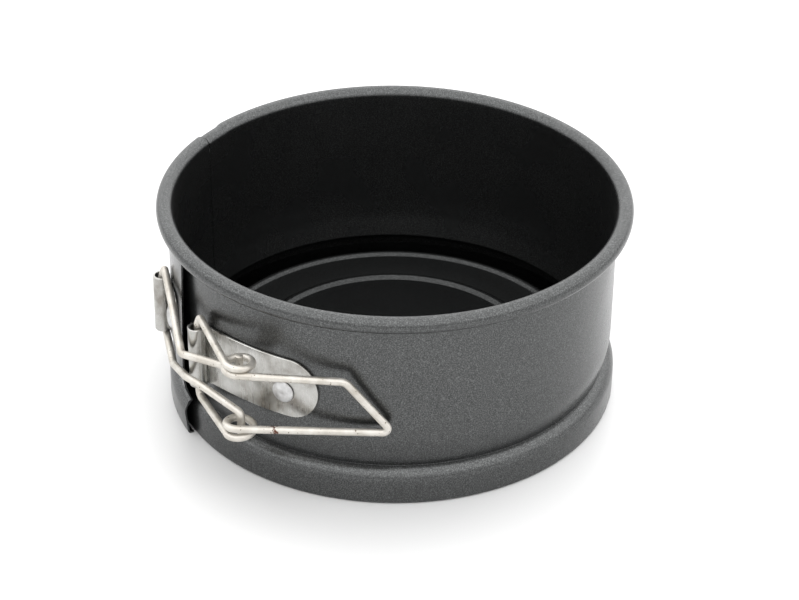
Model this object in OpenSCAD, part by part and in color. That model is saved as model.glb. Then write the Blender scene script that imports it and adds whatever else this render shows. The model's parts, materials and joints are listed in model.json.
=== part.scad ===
// Small springform cake pan: a split non-stick band with a rolled rim, a loose base disc
// held in the groove at the foot of the band, and a toggle latch of two bent wires
// hung in two riveted sheet brackets. Origin at the centre of the foot plane, +Z up,
// the split and the latch on the -Y side. Angles turn counter-clockwise from +X, seen from above.

/* [Band] */
// Outside diameter of the straight wall
pan_d = 120; // [116:1:124]
// Overall height, foot to top of the rolled rim
pan_h = 58; // [54:1:64]
// Sheet thickness of the band
sheet = 0.5; // [0.4:0.05:0.6]
// Outside diameter of the rolled rim
curl_d = 4.6; // [4:0.1:5.2]
// How far the foot stands outside the wall
foot_out = 1.3; // [0.8:0.1:1.4]
// How far the crease above the foot is pinched in
neck_in = 1.7; // [1.5:0.1:1.9]
// Sideways flare of the outer end where it laps over the inner end
flare = 2.6; // [2.2:0.1:3]

/* [Base] */
// Height of the floor above the foot plane
floor_z = 6.5; // [5.5:0.1:7]
// Sheet thickness of the base disc
base_t = 0.6; // [0.5:0.05:0.8]
// Radius of the outer pressed ring
ring_outer_r = 53; // [50:0.5:55]
// Radius of the inner pressed ring
ring_inner_r = 40; // [34:0.5:45]

/* [Latch] */
// Diameter of the lever and link wire
wire_d = 2.1; // [1.8:0.05:2.2]
// Outside diameter of the rolled bracket barrels
barrel_d = 4.7; // [4.5:0.05:5]
// Sheet thickness of the brackets
bracket_t = 0.8; // [0.75:0.05:0.85]
// Centre-line radius of the lever coils
coil_r = 3.2; // [3:0.1:3.4]
// Rivet head diameter
rivet_d = 6.3; // [5.6:0.1:6.6]

/* [Hidden] */
$fn = 96;
// Radii and heights of the band
wall_r = pan_d / 2;
foot_r = wall_r + foot_out;
neck_r = wall_r - neck_in;
curl_r = curl_d / 2;
curl_x = wall_r - sheet + curl_r;
curl_z = pan_h - curl_r;
draw_z = 15.5;
crease_z = [10.2, 11.2];
skirt_z = [0.9, 8.5, 9.3];
skirt_round = 0.6;
lip_round = 0.7;
lip_w = 2;
// Where the band is divided: the springs at the back, the split at the front
hinge_a = 30;
split_gap = 0.05;
tongue_a = -142;
lap_a = 216.6;
joggle_a = 1.3;
joggle_bite = 0.1;
lap_end_a = 271.1;
lap_gap = 0.08;
lap_top = curl_z - curl_r - 0.2;
flare_a = 38;
lap_shift = around(flare, flare_a, 0);
lap_r = wall_r + lap_gap + sheet + flare;
// The disc and its pressed rings
disc_gap = 0.4;
disc_r = foot_r - sheet - disc_gap;
disc_lift = 0.05;
ring_rise = 0.9;
ring_round = 1.8;
// The rolled barrels and the plates behind them
barrel_wall = 0.7;
bore_d = barrel_d - 2 * barrel_wall;
right_stand = 0.65;
left_stand = 0.43;
right_barrel_z = [20.5, 38.5];
left_barrel_z = [22, 38.5];
plate_gap = 0.03;
plate_reach = 30;
right_c = around(wall_r + barrel_d / 2 + right_stand, 282.5, 0);
left_c = lap_shift + around(lap_r + barrel_d / 2 + left_stand, 255.91, 0);
right_plate_a = 300;
tip_u = 10.5;
tip_z = 31.9;
tip_r = 8.9;
heel_u = -18.3;
heel_z = [20.9, 38.4];
taper_in = 0.4;
left_plate_a = 262;
left_u = [-8.9, 6.1];
left_z = [22.1, 38.4];
left_corner_r = 3;
// The rivets
right_rivet_a = 309.5;
right_rivet_z = 30.3;
left_rivet_a = 260.9;
left_rivet_z = 28.4;
shank_d = 3;
hole_gap = 0.1;
hole_d = shank_d + hole_gap;
hole_reach = wall_r + 9;
dome_r = 4.5;
dome_rise = 1.1;
inner_head_d = 4.6;
inner_head_t = 0.6;
seat_gap = 0.05;
shank_bite = 0.2;
// The two bent wires; each pair of heights is the lower arm and the upper arm
bend_d = wire_d + 0.04;
turn_d = wire_d + 0.06;
coil_c = around(wall_r + 7.3, 302, 0);
pin_depth = 5.5;
lever_pin_z = [right_barrel_z[0] + pin_depth, right_barrel_z[1] - pin_depth];
lever_bend_z = [17, 41.3];
coil_outer_z = [19, 40.4];
coil_inner_z = [21.4, 38];
crank_a = -88.5;
riser_a = 60;
grip_a = -58.5;
grip = [around(wall_r + 2.8, 337.9, 23.8), around(wall_r + 3.3, 326, 38.9)];
link_bend_z = [19.2, 41.3];
bow_r = wall_r + 9.3;
bow_a = 285.3;
bow_z = [26.6, 33.4];
hook_z = [23.4, 36];
hook_end_z = [17.4, 42];
pin_gap = 0.35;
link_pin_z = [link_bend_z[0] + bend_d / 2 + pin_gap, link_bend_z[1] - bend_d / 2 - pin_gap];

// A point at radius r, angle a and height z about the pan's axis.
function around(r, a, z) = [r * cos(a), r * sin(a), z];

// Offsetting a chain of points sideways, with mitred corners.
function last(v) = len(v) - 1;
function flip(v) = [for (i = [last(v) : -1 : 0]) v[i]];
function unit(v) = v / norm(v);
function side(p, q) = unit([p.y - q.y, q.x - p.x]);
function mitre(p, q, s) = (side(p, q) + side(q, s)) / (1 + side(p, q) * side(q, s));
function shifted(v, d) = [for (i = [0 : last(v)])
    v[i] + d * (i == 0 ? side(v[0], v[1])
              : i == last(v) ? side(v[i - 1], v[i])
              : mitre(v[i - 1], v[i], v[i + 1]))];

// Outer face of the band from a chosen top edge down to the foot, as [radius, height].
function skin(top) = [[wall_r, top], [wall_r, draw_z], [neck_r, crease_z[1]], [neck_r, crease_z[0]],
                      [foot_r - skirt_round, skirt_z[2]], [foot_r, skirt_z[1]], [foot_r, skirt_z[0]]];

// The edge turned in under the foot.
function lip() = [[foot_r - lip_round, 0], [foot_r - lip_w, 0]];

module sector(a0, a1) {
    rotate([0, 0, a0])
        rotate_extrude(angle = a1 - a0)
            children();
}

module strip(v, d0, d1) {
    polygon(concat(shifted(v, d0), flip(shifted(v, d1))));
}

// Children drawn along +Z are laid along the radius at angle a and height z, about a shifted centre.
module radial(a, z, shift = [0, 0, 0]) {
    translate(shift)
        rotate([0, 0, a])
            translate([0, 0, z])
                rotate([0, 90, 0])
                    children();
}

module rivet_hole() {
    cylinder(d = hole_d, h = hole_reach);
}

module curl_section() {
    translate([curl_x, curl_z])
        difference() {
            circle(r = curl_r);
            circle(r = curl_r - sheet);
        }
}

module band_section() {
    strip(concat(skin(curl_z), lip()), -sheet, 0);
    curl_section();
}

module band_back() {
    color("DimGray")
        sector(hinge_a + split_gap, 180 - hinge_a - split_gap)
            band_section();
}

// The inner end of the band: full section round to the tongue that the other end laps over.
module band_right() {
    color("DimGray")
        difference() {
            sector(tongue_a, hinge_a - split_gap)
                band_section();
            radial(right_rivet_a, right_rivet_z)
                rivet_hole();
        }
}

// The outer end of the band: full section, a step outwards, then a flared lap without a rim.
module band_left() {
    color("Gray") {
        sector(180 - hinge_a + split_gap, lap_a + joggle_a)
            band_section();
        sector(lap_a, lap_a + joggle_a)
            strip(skin(lap_top), -joggle_bite, lap_gap + joggle_bite);
        difference() {
            translate(lap_shift)
                sector(lap_a, lap_end_a)
                    translate([flare, 0])
                        strip(skin(lap_top), lap_gap, lap_gap + sheet);
            radial(left_rivet_a, left_rivet_z, lap_shift)
                rivet_hole();
        }
    }
}

module pressed_ring(r) {
    rotate_extrude()
        intersection() {
            translate([r, floor_z + ring_rise - ring_round])
                circle(r = ring_round);
            translate([r - ring_round, floor_z - base_t])
                square([2 * ring_round, base_t + 2 * ring_rise]);
        }
}

// The loose floor: a disc with two pressed rings and its edge turned down to the lip.
module base_disc() {
    rim_z = sheet + disc_lift;
    color("DarkSlateGray") {
        translate([0, 0, floor_z - base_t])
            cylinder(r = disc_r, h = base_t);
        rotate_extrude()
            translate([disc_r - base_t, rim_z])
                square([base_t, floor_z - base_t / 2 - rim_z]);
        pressed_ring(ring_outer_r);
        pressed_ring(ring_inner_r);
    }
}

// A rolled barrel on the axis c, between the two heights in z.
module barrel(c, z) {
    translate([c.x, c.y, z[0]])
        difference() {
            cylinder(d = barrel_d, h = z[1] - z[0]);
            translate([0, 0, -1])
                cylinder(d = bore_d, h = z[1] - z[0] + 2);
        }
}

// A curved plate of bracket sheet on a wall of radius r, cut to an outline drawn flat at angle a.
module curved_plate(a, r) {
    intersection() {
        sector(a - plate_reach, a + plate_reach)
            translate([r, tip_z - plate_reach / 2])
                square([bracket_t, plate_reach]);
        rotate([0, 0, a])
            rotate([90, 0, 90])
                linear_extrude(height = r + 2 * bracket_t)
                    children();
    }
}

module right_outline() {
    translate([tip_u, tip_z])
        circle(r = tip_r);
    polygon([[heel_u, heel_z[0]], [tip_u, tip_z - tip_r + taper_in],
             [tip_u, tip_z + tip_r - taper_in], [heel_u, heel_z[1]]]);
}

module left_outline() {
    plate_h = left_z[1] - left_z[0];
    corner_u = left_u[1] - left_corner_r;
    translate([left_u[0], left_z[0]])
        square([corner_u - left_u[0], plate_h]);
    translate([left_u[0], left_z[0] + left_corner_r])
        square([left_u[1] - left_u[0], plate_h - 2 * left_corner_r]);
    for (z = [left_z[0] + left_corner_r, left_z[1] - left_corner_r])
        translate([corner_u, z])
            circle(r = left_corner_r);
}

// A barrel on the axis c with its plate, the first child, cleared out of the barrel's bore.
module plate_and_barrel(c, z) {
    barrel(c, z);
    difference() {
        children();
        translate([c.x, c.y, 0])
            cylinder(d = bore_d, h = pan_h);
    }
}

module right_bracket() {
    color("Silver")
        difference() {
            plate_and_barrel(right_c, right_barrel_z)
                curved_plate(right_plate_a, wall_r + plate_gap)
                    right_outline();
            radial(right_rivet_a, right_rivet_z)
                rivet_hole();
        }
}

module left_bracket() {
    color("Silver")
        difference() {
            plate_and_barrel(left_c, left_barrel_z)
                translate(lap_shift)
                    curved_plate(left_plate_a, lap_r + plate_gap)
                        left_outline();
            radial(left_rivet_a, left_rivet_z, lap_shift)
                rivet_hole();
        }
}

// A rivet through a wall of outer radius r: domed head outside, flat upset head inside.
module rivet(r) {
    head_seat = r + bracket_t + seat_gap;
    inner_seat = r - sheet - 2 * seat_gap - inner_head_t;
    color("Gainsboro") {
        translate([0, 0, head_seat])
            intersection() {
                translate([0, 0, dome_rise - dome_r])
                    sphere(r = dome_r);
                cylinder(d = rivet_d, h = 2 * dome_rise);
            }
        translate([0, 0, inner_seat])
            cylinder(d = shank_d, h = head_seat - inner_seat + shank_bite);
        translate([0, 0, inner_seat])
            cylinder(d = inner_head_d, h = inner_head_t);
    }
}

module right_rivet() {
    radial(right_rivet_a, right_rivet_z)
        rivet(wall_r);
}

module left_rivet() {
    radial(left_rivet_a, left_rivet_z, lap_shift)
        rivet(lap_r);
}

module rod(p, q) {
    v = q - p;
    translate(p)
        rotate([0, acos(v.z / norm(v)), atan2(v.y, v.x)])
            cylinder(d = wire_d, h = norm(v), $fn = 32);
}

// A bent wire through a list of points, rounded at every bend and at both ends.
module wire(points) {
    for (i = [0 : len(points) - 2])
        rod(points[i], points[i + 1]);
    for (p = points)
        translate(p)
            sphere(d = bend_d, $fn = 32);
}

module coil_turn(z) {
    translate([coil_c.x, coil_c.y, z])
        rotate_extrude()
            translate([coil_r, 0])
                circle(d = turn_d, $fn = 32);
}

// The lever: pins in the right barrel, crank arms, a coil on each arm and a closed handle.
module latch_lever() {
    color("LightGray") {
        for (k = [0, 1]) {
            wire([right_c + [0, 0, lever_pin_z[k]], right_c + [0, 0, lever_bend_z[k]],
                  coil_c + around(coil_r, crank_a, coil_outer_z[k])]);
            coil_turn(coil_outer_z[k]);
            coil_turn(coil_inner_z[k]);
            rod(coil_c + around(coil_r, riser_a, min(coil_outer_z[k], coil_inner_z[k])),
                coil_c + around(coil_r, riser_a, max(coil_outer_z[k], coil_inner_z[k])));
        }
        wire([coil_c + around(coil_r, grip_a, coil_inner_z[1]), grip[1],
              grip[0], coil_c + around(coil_r, grip_a, coil_inner_z[0])]);
    }
}

// The link: two bowed arms from the left barrel to hooks turned into the lever coils.
module latch_link() {
    color("LightGray")
        for (k = [0, 1])
            wire([left_c + [0, 0, link_bend_z[k]], around(bow_r, bow_a, bow_z[k]),
                  coil_c + [0, 0, hook_z[k]], coil_c + [0, 0, hook_end_z[k]]]);
}

// The straight length of the link wire that runs through the left barrel.
module link_pin() {
    color("LightGray")
        translate([left_c.x, left_c.y, link_pin_z[0]])
            cylinder(d = wire_d, h = link_pin_z[1] - link_pin_z[0]);
}

band_back();
band_left();
band_right();
base_disc();
left_bracket();
right_bracket();
left_rivet();
right_rivet();
latch_lever();
latch_link();
link_pin();
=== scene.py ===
"""Springform pan: the looks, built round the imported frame, in millimetres until a mesh is made."""

import json
import math

import bmesh
import bpy
from mathutils import Matrix, Vector


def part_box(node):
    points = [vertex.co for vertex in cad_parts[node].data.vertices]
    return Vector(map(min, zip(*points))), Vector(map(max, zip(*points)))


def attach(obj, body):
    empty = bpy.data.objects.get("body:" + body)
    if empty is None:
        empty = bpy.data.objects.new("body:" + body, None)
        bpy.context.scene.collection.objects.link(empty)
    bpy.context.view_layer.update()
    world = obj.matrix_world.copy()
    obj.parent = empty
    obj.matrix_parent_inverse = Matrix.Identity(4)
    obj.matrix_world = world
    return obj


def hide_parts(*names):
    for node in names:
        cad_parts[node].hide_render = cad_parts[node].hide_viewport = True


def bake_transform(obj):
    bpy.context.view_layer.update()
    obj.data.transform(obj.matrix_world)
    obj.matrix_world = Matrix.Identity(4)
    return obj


MM = 0.001
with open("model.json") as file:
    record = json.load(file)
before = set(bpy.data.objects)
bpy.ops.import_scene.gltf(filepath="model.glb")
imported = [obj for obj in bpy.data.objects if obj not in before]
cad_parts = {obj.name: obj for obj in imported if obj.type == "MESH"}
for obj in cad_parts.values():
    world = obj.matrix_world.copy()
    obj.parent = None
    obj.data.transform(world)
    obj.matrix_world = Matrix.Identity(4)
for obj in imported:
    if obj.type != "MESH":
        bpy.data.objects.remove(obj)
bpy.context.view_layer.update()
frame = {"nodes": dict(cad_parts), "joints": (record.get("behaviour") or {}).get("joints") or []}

# ---------------------------------------------------------------- sizes read from the frame


def corner(node, end):
    """One corner of a CAD node's box, in millimetres: end 0 is the lowest, end 1 the highest."""
    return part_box(node)[end] / MM


def joint_point(name):
    """Where a joint's upright axis crosses the floor plane, in millimetres."""
    pos = next(j["pos_m"] for j in frame["joints"] if j["name"] == name)
    return Vector((pos[0], pos[1], 0)) / MM


def polar(radius, degrees, z=0.0):
    """A point at a radius and an angle round the pan's axis."""
    a = math.radians(degrees)
    return Vector((radius * math.cos(a), radius * math.sin(a), z))


def bearing(v):
    """Angle of a point round the pan's axis, in degrees."""
    return math.degrees(math.atan2(v.y, v.x))


# The band: radii of its outer face, from the wall in at the crease and out at the foot
SHEET = 0.5
RIM_TOP = corner("band_back", 1).z
RIM_OUT = corner("band_back", 1).y
CURL_WIDTH = 4.6
WALL_R = RIM_OUT - CURL_WIDTH + SHEET
NECK_R = WALL_R - 1.7
FOOT_R = WALL_R + 1.3
CREASE_Z = 10.2
SHOULDER_DROP = 0.8
TAPER_RISE = 7.0
FOOT_LIP = 1.9

# The base disc
RING_RISE = 0.9
RING_RADII = (40.0, 53.0)
RING_HALF_WIDTH = 1.8
FLOOR_Z = corner("base_disc", 1).z - RING_RISE
DISC_R = corner("base_disc", 1).x
DISC_SHEET = 0.6

# The latch's upright axes and its barrels
LEVER_AXIS = joint_point("lever_swing")
COIL_AXIS = joint_point("link_swing")
LINK_AXIS = (corner("link_pin", 0) + corner("link_pin", 1)) / 2
LINK_AXIS.z = 0.0
BARREL_TOP = corner("left_bracket", 1).z
LEFT_BARREL_LOW = corner("left_bracket", 0).z
RIGHT_BARREL_LOW = corner("right_bracket", 0).z
BARREL_R = 2.0
BRACKET_SHEET = 0.72
RIVET_HEAD_H = 1.1

# The band's two ends: where the rims meet, and how the outer end laps over the inner one
BACK_A = 90.0
TONGUE_END_A = -142.02
SEAM_A = 217.6
JOGGLE_A = 0.35
LAP_GAP = 0.1
LAP_END_A = 273.0
LAP_FLARE = 2.6
LAP_SLANT = 3.2
LAP_SPREAD = 2.1
LAP_TOP = RIM_TOP - 4.8

# The bent wires
WIRE_R = 1.03
CUT_END = 0.86
PIN_LOW = 26.0
PIN_HIGH = 34.0
PIN_GAP = 0.2
COIL_R = 3.55
CRANK_A = -100.0
FRONT_A = -31.6
LEAN_A = 75.0
CAMERA_AZIMUTH = 67.0
COIL_MIDDLE = COIL_AXIS - polar(0.65, CAMERA_AZIMUTH)
HOOK_AXIS = COIL_AXIS - polar(0.4, CAMERA_AZIMUTH)

# ---------------------------------------------------------------- plane curves


def clamp01(t):
    """t held between 0 and 1."""
    return min(max(t, 0), 1)


def smooth(t):
    """An eased step from 0 to 1."""
    return t * t * (3 - 2 * t)


def fillet(points, radii, steps=6, limit=0.49):
    """A chain of 2D or 3D points with its inner corners rounded, using up to a share of each side."""
    out = [points[0]]
    for i in range(1, len(points) - 1):
        p, q, s = points[i - 1], points[i], points[i + 1]
        radius = radii[i - 1] if isinstance(radii, (list, tuple)) else radii
        u, v = (p - q).normalized(), (s - q).normalized()
        half = u.angle(v) / 2
        reach = min(radius / math.tan(half), limit * (p - q).length, limit * (s - q).length)
        radius = reach * math.tan(half)
        middle = q + (u + v).normalized() * (radius / math.sin(half))
        start, end = q + u * reach - middle, q + v * reach - middle
        sweep = start.angle(end)
        if sweep < 1e-4:
            out.append(q.copy())
            continue
        for k in range(steps + 1):
            t = k / steps
            a, b = math.sin((1 - t) * sweep), math.sin(t * sweep)
            out.append(middle + (start * a + end * b) / math.sin(sweep))
    out.append(points[-1])
    return out


def thicken(line, thickness):
    """The two faces of a sheet whose middle follows a 2D line."""
    left, right = [], []
    for i, p in enumerate(line):
        d = (line[min(i + 1, len(line) - 1)] - line[max(i - 1, 0)]).normalized()
        n = Vector((-d.y, d.x)) * thickness / 2
        left.append(p + n)
        right.append(p - n)
    return left, right


# ---------------------------------------------------------------- mesh helpers


def new_piece(name, bm, body, material, replaces):
    """Turns a bmesh in millimetres into a smooth-shaded piece, riding on a body unless that is None."""
    bmesh.ops.recalc_face_normals(bm, faces=bm.faces)
    mesh = bpy.data.meshes.new(name)
    bm.to_mesh(mesh)
    bm.free()
    mesh.transform(Matrix.Scale(MM, 4))
    mesh.materials.append(material)
    mesh.polygons.foreach_set("use_smooth", [True] * len(mesh.polygons))
    piece = bpy.data.objects.new(name, mesh)
    bpy.context.scene.collection.objects.link(piece)
    mesh.set_sharp_from_angle(angle=math.radians(42))
    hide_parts(*replaces)
    if body:
        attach(piece, body)
    return piece


def loft(bm, rings, caps=True, closed=False):
    """Skins a list of rings of points, with flat caps at the two ends unless it closes on itself."""
    rows = [[bm.verts.new(p) for p in ring] for ring in rings]
    pairs = list(zip(rows[:-1], rows[1:]))
    if closed:
        pairs.append((rows[-1], rows[0]))
    n = len(rows[0])
    for a, b in pairs:
        for i in range(n):
            bm.faces.new((a[i], a[(i + 1) % n], b[(i + 1) % n], b[i]))
    if caps and not closed:
        bm.faces.new(rows[0][::-1])
        bm.faces.new(rows[-1])
    return rows


def sheet_loft(bm, rings):
    """Skins the sections of a bent sheet and caps its two ends in strips.

    Each section has the points of one face and then those of the other in reverse.
    """
    rows = loft(bm, rings, caps=False)
    last = len(rows[0]) - 1
    for row in (rows[0][::-1], rows[-1]):
        for i in range(last // 2):
            bm.faces.new((row[i], row[i + 1], row[last - 1 - i], row[last - i]))


def spun(bm, section, segments=256):
    """Skins a closed section of (radius, height) points all the way round the pan's axis."""
    rings = []
    for k in range(segments):
        a = 360.0 * k / segments
        rings.append([polar(p.x, a, p.y) for p in section])
    loft(bm, rings, closed=True)


# ---------------------------------------------------------------- band


def band_line(lip=FOOT_LIP):
    """Middle of the band's sheet from the turned-in foot edge up to the wall's top, below the rim."""
    half = SHEET / 2
    chain = [
        Vector((FOOT_R - lip, half)),
        Vector((FOOT_R - half, half)),
        Vector((FOOT_R - half, CREASE_Z - SHOULDER_DROP)),
        Vector((NECK_R - half, CREASE_Z)),
        Vector((WALL_R - half, CREASE_Z + TAPER_RISE)),
        Vector((WALL_R - half, LAP_TOP)),
    ]
    line = fillet(chain, [0.6, 3.5, 0.32, 22.0], steps=8, limit=0.88)
    top = line.pop()
    last = line[-1]
    wall_steps = 12
    for k in range(1, wall_steps + 1):
        line.append(last.lerp(top, k / wall_steps))
    return line


def curl_line():
    """Middle of the rolled rim: out from the wall, over a nearly flat top and back in to the wall."""
    half = SHEET / 2
    inner, outer = WALL_R - half, RIM_OUT - half
    chain = [
        Vector((inner, LAP_TOP + 0.3)),
        Vector((inner, RIM_TOP - half + 0.05)),
        Vector((outer, RIM_TOP - half - 0.1)),
        Vector((outer, RIM_TOP - 3.7)),
        Vector((WALL_R + 0.45, RIM_TOP - 4.1)),
        Vector((WALL_R + 0.5, RIM_TOP - 3.0)),
    ]
    return fillet(chain, [2.0, 2.0, 1.6, 0.5], steps=9)


def band_section():
    """Outer and inner face of the band with its rim."""
    line = band_line() + curl_line()
    inner, outer = thicken(line, SHEET)
    return outer, inner


def lap_shift(angle):
    """How far the outer end stands outside the plain wall, where it laps over the inner end."""
    joggle = (SHEET + LAP_GAP) * clamp01((angle - SEAM_A) / JOGGLE_A)
    past = math.radians(max(angle - SEAM_A, 0))
    return joggle + LAP_FLARE * (1 - math.cos(past))


def plain_sector(bm, first, last, step=1.0):
    """A stretch of band between two angles with its whole section."""
    outer, inner = band_section()
    loop = outer + inner[::-1]
    count = max(2, round(abs(last - first) / step))
    rings = []
    for k in range(count + 1):
        a = first + (last - first) * k / count
        tight = rim_tightness(a)
        rings.append([tightened(p, a, tight) for p in loop])
    sheet_loft(bm, rings)


def rim_tightness(angle):
    """The outer end's rim is rolled tighter over its last few degrees, up to the seam."""
    tight_stretch, ease = 9, 2.5
    return smooth(clamp01((angle - SEAM_A + tight_stretch) / ease))


def tightened(p, angle, tight):
    """A section point at an angle, with the rim shrunk towards the wall by its tightness."""
    if p.y <= LAP_TOP:
        return polar(p.x, angle, p.y)
    narrower, lower = 0.11, 0.06
    r = p.x - narrower * tight * max(p.x - WALL_R, 0)
    return polar(r, angle, p.y - lower * tight * (p.y - LAP_TOP))


def lap_sector(bm):
    """The plain outer end that laps over the inner end: no rim, and only a short foot lip."""
    first = SEAM_A + JOGGLE_A
    joggle_steps, lap_steps = 4, 60
    rings = []
    for k in range(joggle_steps):
        rings.append(lap_ring(SEAM_A + JOGGLE_A * k / joggle_steps, 0.0))
    for k in range(lap_steps + 1):
        share = k / lap_steps
        rings.append(lap_ring(first + (LAP_END_A - first) * share, share))
    sheet_loft(bm, rings)


def lap_ring(angle, share):
    """The lap's section at an angle; share is how far along the lap it is."""
    shift = lap_shift(angle)
    short_lip = shift - 0.15
    inner, outer = thicken(band_line(lip=short_lip), SHEET)
    arm_z, arm_fade = 15, 4
    ring = []
    for p in outer + inner[::-1]:
        low = 1 - p.y / LAP_TOP
        # Below the latch's lower arm the end springs out sooner than beside it.
        start = 0.68 + 0.22 * clamp01((p.y - arm_z) / arm_fade)
        loose = clamp01((share - start) / (1 - start)) ** 1.3
        slant = LAP_SLANT * low * share ** 4
        ring.append(polar(p.x + shift + loose * spread(p.y), angle + slant, p.y))
    return ring


def spread(z):
    """How far the lap's very end springs out: most above the crease, little at the rim and foot."""
    line = ((0, 0.2), (4, 0.8), (9.2, 0.8), (12.0, 3.0), (15.0, LAP_SPREAD), (LAP_TOP, 0))
    for (z0, s0), (z1, s1) in zip(line[:-1], line[1:]):
        if z <= z1:
            return s0 + (s1 - s0) * (z - z0) / (z1 - z0)
    return 0


def bend_band(piece):
    """Bakes the band piece's placement into its mesh."""
    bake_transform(piece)


def make_band(material):
    """The band as two bends of sheet that start at the back and meet, and then lap, at the latch."""
    bm = bmesh.new()
    plain_sector(bm, BACK_A, TONGUE_END_A)
    right = new_piece("band_inner_end", bm, None, material, ["band_right", "band_back"])
    bend_band(right)
    bm = bmesh.new()
    plain_sector(bm, BACK_A, SEAM_A)
    lap_sector(bm)
    left = new_piece("band_outer_end", bm, None, material, ["band_left", "band_back"])
    bend_band(left)


# ---------------------------------------------------------------- base disc


def bead(r):
    """A pressed ring's section: a smooth hump on the floor."""
    steps = 12
    points = []
    for k in range(steps + 1):
        t = k / steps
        lift = RING_RISE * 0.5 * (1 - math.cos(2 * math.pi * t))
        points.append(Vector((r + RING_HALF_WIDTH * (2 * t - 1), FLOOR_Z + lift)))
    return points


def make_base(material):
    """The loose floor with its two pressed rings and its edge turned down."""
    edge_r = DISC_R - DISC_SHEET / 2
    centre_r = 0.02
    top = [Vector((centre_r, FLOOR_Z))]
    for r in RING_RADII:
        top += bead(r)
    rim = [Vector((edge_r, FLOOR_Z)), Vector((edge_r, SHEET + 0.1))]
    line = top[:-1] + fillet([top[-1]] + rim, 0.7)
    upper, lower = thicken(line, DISC_SHEET)
    shift = Vector((0, -DISC_SHEET / 2))
    section = [p + shift for p in upper] + [p + shift for p in lower[::-1]]
    bm = bmesh.new()
    spun(bm, section)
    new_piece("base_disc_sheet", bm, "pan", material, ["base_disc"])


# ---------------------------------------------------------------- wires


def tube(bm, path, radius=WIRE_R, sides=20):
    """A round wire along a path, a little thinner at its two cut ends."""
    rings = []
    side = (path[1] - path[0]).normalized().orthogonal().normalized()
    count = len(path)
    for i, p in enumerate(path):
        d = (path[min(i + 1, count - 1)] - path[max(i - 1, 0)]).normalized()
        side = (side - d * side.dot(d)).normalized()
        other = d.cross(side)
        r = radius * (CUT_END if i in (0, count - 1) else 1.0)
        ring = []
        for k in range(sides):
            a = 2 * math.pi * k / sides
            ring.append(p + side * (r * math.cos(a)) + other * (r * math.sin(a)))
        rings.append(ring)
    loft(bm, rings)


def eased_ends(path, length=0.12):
    """The same path with a short step at both ends, so that the cut ends have a small chamfer."""
    first = path[0].lerp(path[1], length / (path[1] - path[0]).length)
    last = path[-1].lerp(path[-2], length / (path[-2] - path[-1]).length)
    return [path[0], first] + path[1:-1] + [last, path[-1]]


def helix(centre, radius, a0, a1, z0, z1, steps=56):
    """Points on a screw line round an upright axis."""
    points = []
    for k in range(steps + 1):
        t = k / steps
        p = centre + polar(radius, a0 + (a1 - a0) * t)
        points.append(Vector((p.x, p.y, z0 + (z1 - z0) * t)))
    return points


def resample(path, step=0.8):
    """The path with long stretches cut into short ones."""
    out = [path[0]]
    for p, q in zip(path[:-1], path[1:]):
        n = max(1, math.ceil((q - p).length / step))
        for k in range(1, n + 1):
            out.append(p.lerp(q, k / n))
    return out


def at(axis, z, lean=0.0):
    """A point at a height beside an upright axis."""
    p = axis + polar(lean, LEAN_A)
    return Vector((p.x, p.y, z))


def handle_corners():
    """The upper and lower corner of the lever's grip."""
    return polar(WALL_R + 3.3, 326.0, 38.9), polar(WALL_R + 2.8, 337.1, 23.9)


def lever_path():
    """The lever as one wire, from its pin in the right barrel's top round to its pin in the foot."""
    upper, lower = handle_corners()
    top_turn = helix(COIL_MIDDLE, COIL_R, CRANK_A, FRONT_A + 360, 40.6, 38.1)
    low_turn = helix(COIL_MIDDLE, COIL_R, FRONT_A + 360, CRANK_A, 21.6, 18.3)
    start = [
        at(LEVER_AXIS, BARREL_TOP - 5, 0.4),
        at(LEVER_AXIS, BARREL_TOP + 0.6, 0.4),
        at(LEVER_AXIS, 41.3, 1.0),
        top_turn[0],
    ]
    finish = [
        low_turn[-1],
        at(LEVER_AXIS, 16.9, 0.1),
        at(LEVER_AXIS, RIGHT_BARREL_LOW + 5, 0.1),
    ]
    path = fillet(start, [2.0, 1.0])[:-1] + top_turn[:-1]
    path += fillet([top_turn[-1], upper, lower, low_turn[0]], [2.4, 1.4], steps=10)[:-1]
    path += low_turn[:-1] + fillet(finish, 1.6)
    return path


def upper_link_arm():
    """The link's upper arm: out of the left barrel, round the right one, hooked up into the coil."""
    chain = [
        at(LINK_AXIS, PIN_HIGH),
        at(LINK_AXIS, 36.0),
        at(LINK_AXIS, 38.4, 0.6),
        at(LINK_AXIS, 40.6, 1.2),
        polar(WALL_R + 4.0, 270.5, 39.3),
        polar(WALL_R + 8.2, 283.0, 32.2),
        polar(WALL_R + 6.9, 298.0, 36.3),
        at(HOOK_AXIS, 36.3),
        at(HOOK_AXIS, 42.0),
    ]
    return fillet(chain, [0.8, 0.8, 1.4, 14.0, 2.0, 8.0, 1.2])


def lower_link_arm():
    """The link's lower arm: out of the left barrel, round the right one, hooked down into the coil."""
    chain = [
        at(LINK_AXIS, PIN_LOW),
        at(LINK_AXIS, 24.0),
        at(LINK_AXIS, 20.2, 0.9),
        polar(WALL_R + 3.7, 268.6, 17.8),
        polar(WALL_R + 8.2, 284.6, 26.0),
        polar(WALL_R + 8.3, 290.0, 27.0),
        at(HOOK_AXIS, 24.2),
        at(HOOK_AXIS, 17.2),
    ]
    return fillet(chain, [0.8, 1.3, 4.0, 5.0, 8.0, 1.4])


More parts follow.
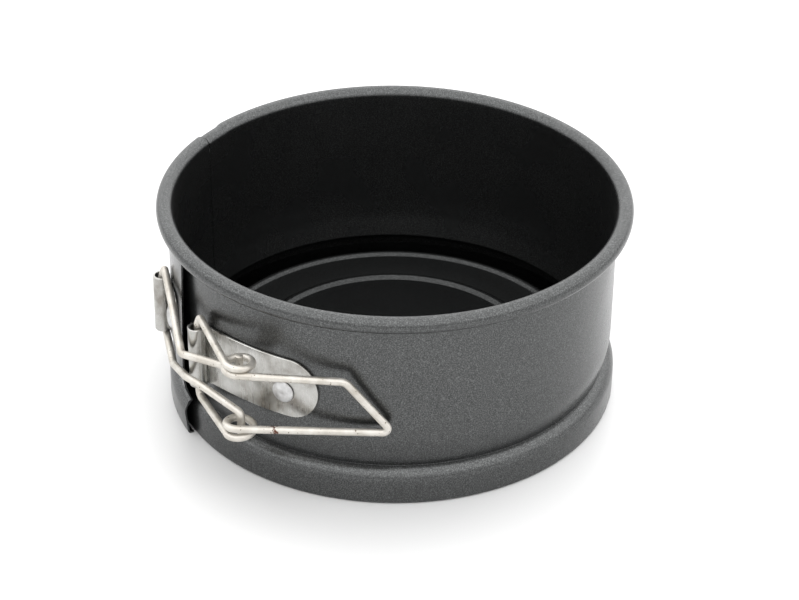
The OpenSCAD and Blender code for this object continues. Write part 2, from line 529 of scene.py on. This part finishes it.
def make_wires(material):
    """The lever, the link's two arms and the link's straight length in the left barrel."""
    bm = bmesh.new()
    tube(bm, eased_ends(resample(lever_path())))
    new_piece("lever_wire", bm, "lever", material, ["latch_lever"])
    bm = bmesh.new()
    tube(bm, eased_ends(resample(upper_link_arm())))
    tube(bm, eased_ends(resample(lower_link_arm())))
    new_piece("link_wire", bm, "link", material, ["latch_link"])
    bm = bmesh.new()
    tube(bm, resample([at(LINK_AXIS, PIN_LOW + PIN_GAP), at(LINK_AXIS, PIN_HIGH - PIN_GAP)]))
    new_piece("link_pin_wire", bm, "left_side", material, ["link_pin"])


# ---------------------------------------------------------------- brackets


def slab_ring(p, normal, low, high, thickness, edge=0.16):
    """The section of a bracket's sheet: a thin upright bar with its corners cut."""
    half = thickness / 2
    e = min(edge, (high - low) / 4)
    corners = [
        (-half, low + e), (-half + e, low), (half - e, low), (half, low + e),
        (half, high - e), (half - e, high), (-half + e, high), (-half, high - e),
    ]
    ring = []
    for n, z in corners:
        ring.append(Vector((p.x + normal.x * n, p.y + normal.y * n, z)))
    return ring


def sheet_strip(bm, path, heights, thickness):
    """A strip of sheet along a plan path, with a low and a high edge at each point."""
    rings = []
    count = len(path)
    for i, p in enumerate(path):
        d = (path[min(i + 1, count - 1)] - path[max(i - 1, 0)]).normalized()
        normal = Vector((-d.y, d.x, 0))
        low, high = heights[i]
        rings.append(slab_ring(p, normal, low, high, thickness))
    loft(bm, rings)


def barrel_roll(axis, start_a, sweep, radius=BARREL_R, steps=36):
    """Plan points of the rolled barrel, from where the plate meets it round to the free edge."""
    return [axis + polar(radius, start_a + sweep * k / steps) for k in range(steps + 1)]


def right_bracket_shape():
    """Plan path and edge heights of the long tongue-shaped bracket, from its round tip to its barrel."""
    r = WALL_R + 0.45
    tip_a, barrel_a = 318.7, bearing(LEVER_AXIS) + 360
    tip_w, half_h = 8.0, 8.7

    def middle(a):
        """Height of the plate's middle line, which rises from the barrel and levels out."""
        return 29.15 + 2.5 * (1 - math.exp(-math.radians(a - barrel_a) * r / 9))

    round_a = tip_a - math.degrees(tip_w / r)
    path, heights = [], []
    steps = 24
    least_half = 0.35
    # The round tip starts a hair short of its end, so that its first two points stay apart.
    for k in range(steps):
        t = math.radians(90 * (1 - k / steps)) * 0.999
        a = round_a + math.degrees(tip_w * math.sin(t) / r)
        half = max(half_h * math.cos(t), least_half)
        path.append(polar(r, a))
        heights.append((middle(a) - half, middle(a) + half))
    end_a = barrel_a + 4.6
    for k in range(steps + 1):
        a = round_a + (end_a - round_a) * k / steps
        path.append(polar(r, a))
        heights.append((middle(a) - half_h, middle(a) + half_h))
    roll_up(path, heights, LEVER_AXIS, RIGHT_BARREL_LOW)
    return path, heights


def left_bracket_shape():
    """Plan path and edge heights of the short bracket on the lapping end of the band."""
    end_a, start_a = 268.6, bearing(LINK_AXIS) + 360 + 4.4
    stand, corner_r, edge_inset = 0.47, 3.0, 0.1
    steps = 30
    path, heights = [], []
    for k in range(steps + 1):
        a = end_a + (start_a - end_a) * k / steps
        s = math.radians(end_a - a) * WALL_R
        cut = 0.0
        if s < corner_r:
            cut = corner_r - math.sqrt(max(corner_r ** 2 - (corner_r - s) ** 2, 0))
        path.append(polar(WALL_R + lap_shift(a) + stand, a))
        heights.append((LEFT_BARREL_LOW + edge_inset + cut, BARREL_TOP - edge_inset - cut))
    roll_up(path, heights, LINK_AXIS + polar(0.3, CAMERA_AZIMUTH), LEFT_BARREL_LOW - 0.35)
    return path, heights


def roll_up(path, heights, axis, low):
    """Carries a bracket's path on from its plate, round its barrel to the free edge."""
    lead_in, roll_sweep = 22, -328
    meet_a = bearing(axis) + 180 + lead_in
    join = axis + polar(BARREL_R, meet_a)
    last = path[-1]
    last_low, last_high = heights[-1]
    steps = 6
    for k in range(1, steps):
        t = k / steps
        s = smooth(t)
        radius = last.length + (join.length - last.length) * s
        path.append(last.lerp(join, t).normalized() * radius)
        heights.append((last_low + (low - last_low) * s, last_high + (BARREL_TOP - last_high) * s))
    roll = barrel_roll(axis, meet_a, roll_sweep)
    path += roll
    heights += [(low, BARREL_TOP)] * len(roll)


def make_brackets(material):
    """The two riveted sheet brackets, each one rolled into a barrel."""
    for name, body, node, shape in (
        ("right_bracket_sheet", "right_side", "right_bracket", right_bracket_shape),
        ("left_bracket_sheet", "left_side", "left_bracket", left_bracket_shape),
    ):
        path, heights = shape()
        bm = bmesh.new()
        sheet_strip(bm, path, heights, BRACKET_SHEET)
        new_piece(name, bm, body, material, [node])


# ---------------------------------------------------------------- rivets


def make_rivets(material):
    """One turned rivet through each bracket."""
    for side, body in (("right", "right_side"), ("left", "left_side")):
        node = side + "_rivet"
        middle = (corner(node, 0) + corner(node, 1)) / 2
        outward = Vector((middle.x, middle.y, 0)).normalized()
        bm = bmesh.new()
        profile = rivet_profile()
        base = outward * rivet_seat(node, outward)
        side_dir = Vector((-outward.y, outward.x, 0))
        rings = []
        segments = 48
        for s in range(segments):
            a = 2 * math.pi * s / segments
            spoke = side_dir * math.cos(a) + Vector((0, 0, 1)) * math.sin(a)
            ring = []
            for r, h in profile:
                p = base + outward * h + spoke * r
                ring.append(Vector((p.x, p.y, p.z + middle.z)))
            rings.append(ring)
        loft(bm, rings, closed=True)
        new_piece(side + "_rivet_head", bm, body, material, [node])


def rivet_seat(node, outward):
    """Radius of the face that a rivet's head sits on: its outermost point less the head's height."""
    points = [v.co / MM for v in frame["nodes"][node].data.vertices]
    return max(p.x * outward.x + p.y * outward.y for p in points) - RIVET_HEAD_H


def rivet_profile():
    """Radius and height of the rivet, from its head's centre over the edge to the inner head."""
    centre_r, head_top, dome_r, shank_r = 0.02, 1.02, 2.75, 1.5
    steps = 10
    dome = [(centre_r, head_top)]
    for k in range(1, steps + 1):
        t = k / steps
        dome.append((dome_r * t, head_top + 0.08 * math.sin(math.pi * t) - 0.42 * t ** 3))
    head_edge = [(2.98, 0.42), (3.05, 0.22), (3.0, 0.04)]
    shank = [(shank_r, 0.02), (shank_r, -1.45)]
    inner_head = [(2.2, -1.47), (2.3, -1.6), (2.25, -1.95), (1.9, -2.05), (centre_r, -2.05)]
    return dome + head_edge + shank + inner_head


# ---------------------------------------------------------------- materials


def shader(name):
    """A new material with its Principled node and a helper that adds further nodes."""
    material = bpy.data.materials.new(name)
    material.use_nodes = True
    tree = material.node_tree
    bsdf = tree.nodes["Principled BSDF"]

    def add(kind, **settings):
        """A new node with its sockets or properties set by name."""
        node = tree.nodes.new(kind)
        for key, value in settings.items():
            if key in node.inputs:
                node.inputs[key].default_value = value
            else:
                setattr(node, key, value)
        return node

    return material, tree, bsdf, add


def ramp(add, tree, source, stops):
    """A colour ramp fed by a socket; stops are (position, grey or colour)."""
    node = add("ShaderNodeValToRGB")
    elements = node.color_ramp.elements
    while len(elements) < len(stops):
        elements.new(0.5)
    for element, (position, value) in zip(elements, stops):
        element.position = position
        colour = value if isinstance(value, tuple) else (value, value, value)
        element.color = (*colour, 1)
    tree.links.new(source, node.inputs["Fac"])
    return node


def object_noise(add, tree, scale, detail=2.0, roughness=0.5, stretch=None):
    """Noise in the object's own coordinates, with scale in features per metre."""
    coords = add("ShaderNodeTexCoord")
    source = coords.outputs["Object"]
    if stretch:
        mapping = add("ShaderNodeMapping")
        mapping.inputs["Scale"].default_value = stretch
        tree.links.new(source, mapping.inputs["Vector"])
        source = mapping.outputs["Vector"]
    noise = add("ShaderNodeTexNoise", Scale=scale, Detail=detail, Roughness=roughness)
    tree.links.new(source, noise.inputs["Vector"])
    return noise


def coating_material(name, tint, roughness, metallic):
    """Dark non-stick coating: a metallic base with fine fleck and a slight orange peel."""
    material, tree, bsdf, add = shader(name)
    fleck = object_noise(add, tree, 3200, detail=1.0)
    colour = ramp(add, tree, fleck.outputs["Fac"], [
        (0.34, tuple(c * 0.65 for c in tint)),
        (0.52, tint),
        (0.72, tuple(c * 1.7 for c in tint)),
    ])
    tree.links.new(colour.outputs["Color"], bsdf.inputs["Base Color"])
    bsdf.inputs["Metallic"].default_value = metallic
    patches = object_noise(add, tree, 60, detail=3.0)
    gloss = ramp(add, tree, patches.outputs["Fac"], [(0.3, roughness - 0.03), (0.7, roughness + 0.03)])
    tree.links.new(gloss.outputs["Color"], bsdf.inputs["Roughness"])
    peel = object_noise(add, tree, 2600, detail=2.0)
    bump = add("ShaderNodeBump", Strength=0.25, Distance=0.00006)
    tree.links.new(peel.outputs["Fac"], bump.inputs["Height"])
    tree.links.new(bump.outputs["Normal"], bsdf.inputs["Normal"])
    return material


def bracket_material():
    """Bright rolled steel with fine upright streaks and a little tarnish."""
    material, tree, bsdf, add = shader("bracket_steel")
    tarnish = object_noise(add, tree, 140, detail=4.0, roughness=0.6)
    colour = ramp(add, tree, tarnish.outputs["Fac"], [
        (0.30, (0.24, 0.225, 0.205)),
        (0.50, (0.40, 0.395, 0.375)),
        (0.72, (0.52, 0.515, 0.50)),
    ])
    tree.links.new(colour.outputs["Color"], bsdf.inputs["Base Color"])
    bsdf.inputs["Metallic"].default_value = 1.0
    streaks = object_noise(add, tree, 900, detail=3.0, stretch=(1.0, 1.0, 0.08))
    gloss = ramp(add, tree, streaks.outputs["Fac"], [(0.3, 0.20), (0.7, 0.36)])
    tree.links.new(gloss.outputs["Color"], bsdf.inputs["Roughness"])
    waves = object_noise(add, tree, 160, detail=2.0)
    bump = add("ShaderNodeBump", Strength=0.6, Distance=0.0003)
    tree.links.new(waves.outputs["Fac"], bump.inputs["Height"])
    tree.links.new(bump.outputs["Normal"], bsdf.inputs["Normal"])
    return material


def rivet_material():
    """Matt aluminium, slightly dented by the riveting tool."""
    material, tree, bsdf, add = shader("rivet_aluminium")
    marks = object_noise(add, tree, 500, detail=3.0)
    colour = ramp(add, tree, marks.outputs["Fac"], [
        (0.3, (0.44, 0.435, 0.43)),
        (0.6, (0.62, 0.62, 0.62)),
    ])
    tree.links.new(colour.outputs["Color"], bsdf.inputs["Base Color"])
    bsdf.inputs["Metallic"].default_value = 1.0
    bsdf.inputs["Roughness"].default_value = 0.42
    dents = object_noise(add, tree, 420, detail=2.0)
    bump = add("ShaderNodeBump", Strength=0.5, Distance=0.0002)
    tree.links.new(dents.outputs["Fac"], bump.inputs["Height"])
    tree.links.new(bump.outputs["Normal"], bsdf.inputs["Normal"])
    return material


def rust_spot():
    """Where the lever's lower grip wire has begun to rust, in metres."""
    lower = handle_corners()[1]
    coil = COIL_MIDDLE + polar(COIL_R, FRONT_A, 21.6)
    return coil.lerp(lower, 0.24) * MM


def wire_material():
    """Dull nickel plate on drawn wire, with small dark pits and one rusty spot."""
    material, tree, bsdf, add = shader("wire_nickel")
    tone = object_noise(add, tree, 260, detail=3.0)
    plate = ramp(add, tree, tone.outputs["Fac"], [(0.3, (0.46, 0.43, 0.38)), (0.65, (0.64, 0.615, 0.57))])
    pits = object_noise(add, tree, 1500, detail=1.0)
    pit_mask = ramp(add, tree, pits.outputs["Fac"], [(0.70, 0.0), (0.76, 1.0)])
    grain = object_noise(add, tree, 900, detail=3.0)
    mix = add("ShaderNodeMix", data_type="RGBA")
    tree.links.new(pit_mask.outputs["Color"], mix.inputs[0])
    tree.links.new(plate.outputs["Color"], mix.inputs[6])
    mix.inputs[7].default_value = (0.10, 0.075, 0.05, 1)
    coords = add("ShaderNodeTexCoord")
    reach = add("ShaderNodeVectorMath", operation="DISTANCE")
    reach.inputs[1].default_value = rust_spot()
    tree.links.new(coords.outputs["Object"], reach.inputs[0])
    near = add("ShaderNodeMapRange")
    near.inputs["From Min"].default_value = 0.8 * MM
    near.inputs["From Max"].default_value = 2.8 * MM
    near.inputs["To Min"].default_value = 0.25
    near.inputs["To Max"].default_value = -0.25
    tree.links.new(reach.outputs["Value"], near.inputs["Value"])
    blotch = add("ShaderNodeMath", operation="ADD")
    tree.links.new(near.outputs["Result"], blotch.inputs[0])
    tree.links.new(grain.outputs["Fac"], blotch.inputs[1])
    rust_mask = ramp(add, tree, blotch.outputs["Value"], [(0.60, 0.0), (0.70, 1.0)])
    rusty = add("ShaderNodeMix", data_type="RGBA")
    tree.links.new(rust_mask.outputs["Color"], rusty.inputs[0])
    tree.links.new(mix.outputs[2], rusty.inputs[6])
    rusty.inputs[7].default_value = (0.10, 0.035, 0.02, 1)
    tree.links.new(rusty.outputs[2], bsdf.inputs["Base Color"])
    bsdf.inputs["Metallic"].default_value = 0.8
    gloss = ramp(add, tree, tone.outputs["Fac"], [(0.3, 0.40), (0.7, 0.52)])
    tree.links.new(gloss.outputs["Color"], bsdf.inputs["Roughness"])
    bump = add("ShaderNodeBump", Strength=0.4, Distance=0.0001)
    tree.links.new(grain.outputs["Fac"], bump.inputs["Height"])
    tree.links.new(bump.outputs["Normal"], bsdf.inputs["Normal"])
    return material


# ---------------------------------------------------------------- stage


def make_floor():
    """The plain pale floor."""
    material, _, bsdf, _ = shader("floor_white")
    bsdf.inputs["Base Color"].default_value = (0.60, 0.60, 0.60, 1)
    bsdf.inputs["Roughness"].default_value = 0.35
    bpy.ops.mesh.primitive_plane_add(size=12, location=(0, 0, 0))
    floor = bpy.context.object
    floor.name = "floor"
    floor.data.materials.append(material)


def make_light(name, azimuth, elevation, distance, size, watts):
    """A square soft light aimed at the pan."""
    data = bpy.data.lights.new(name, "AREA")
    data.size = size
    data.energy = watts
    lamp = bpy.data.objects.new(name, data)
    lamp.visible_glossy = False
    bpy.context.scene.collection.objects.link(lamp)
    direction = view_direction(azimuth, elevation)
    lamp.location = direction * distance
    lamp.rotation_euler = (-direction).to_track_quat("-Z", "Y").to_euler()


def view_direction(azimuth, elevation):
    """Unit vector from the pan towards a viewer; azimuth 0 is on the -Y side, 90 on the +X side."""
    a, e = math.radians(azimuth), math.radians(elevation)
    return Vector((math.sin(a) * math.cos(e), -math.cos(a) * math.cos(e), math.sin(e)))


def make_world():
    """A white studio that brightens towards a wide soft light overhead, a little behind the pan."""
    world = bpy.data.worlds.new("studio")
    world.use_nodes = True
    nodes, links = world.node_tree.nodes, world.node_tree.links
    coords = nodes.new("ShaderNodeTexCoord")
    facing = nodes.new("ShaderNodeVectorMath")
    facing.operation = "DOT_PRODUCT"
    facing.inputs[1].default_value = view_direction(CAMERA_AZIMUTH + 160, 84)
    glow = nodes.new("ShaderNodeMapRange")
    glow.interpolation_type = "SMOOTHSTEP"
    glow.inputs["From Min"].default_value = -0.05
    glow.inputs["From Max"].default_value = 0.55
    glow.inputs["To Min"].default_value = 0.9
    glow.inputs["To Max"].default_value = 2.2
    links.new(coords.outputs["Generated"], facing.inputs[0])
    links.new(facing.outputs["Value"], glow.inputs["Value"])
    links.new(glow.outputs["Result"], nodes["Background"].inputs["Strength"])
    nodes["Background"].inputs["Color"].default_value = (1, 1, 1, 1)
    bpy.context.scene.world = world


CAMERA_ELEVATION = 32.43
CAMERA_DISTANCE = 0.6539
CAMERA_LENS = 106.8
CAMERA_ROLL = 0.563


def make_camera():
    """The photograph's view."""
    data = bpy.data.cameras.new("camera")
    data.lens = CAMERA_LENS
    data.sensor_width = 36
    data.shift_x = 0.0068
    data.shift_y = -0.0044
    data.clip_start = 0.05
    camera = bpy.data.objects.new("camera", data)
    bpy.context.scene.collection.objects.link(camera)
    aim = Vector((0, 0, 0.025))
    direction = view_direction(CAMERA_AZIMUTH, CAMERA_ELEVATION)
    camera.location = aim + direction * CAMERA_DISTANCE
    turn = (-direction).to_track_quat("-Z", "Y").to_matrix().to_4x4()
    roll = Matrix.Rotation(math.radians(CAMERA_ROLL), 4, "Z")
    camera.matrix_world = Matrix.Translation(camera.location) @ turn @ roll
    bpy.context.scene.camera = camera


# ---------------------------------------------------------------- build

coating = coating_material("coating_grey", (0.084, 0.086, 0.086), 0.28, 0.94)
base_coating = coating_material("coating_base", (0.037, 0.038, 0.038), 0.22, 1.0)
make_band(coating)
make_base(base_coating)
make_brackets(bracket_material())
make_rivets(rivet_material())
make_wires(wire_material())
make_floor()
make_world()
make_light("key", CAMERA_AZIMUTH + 155, 66, 1.2, 0.8, 8)
make_camera()
bpy.context.scene.view_settings.view_transform = "Standard"
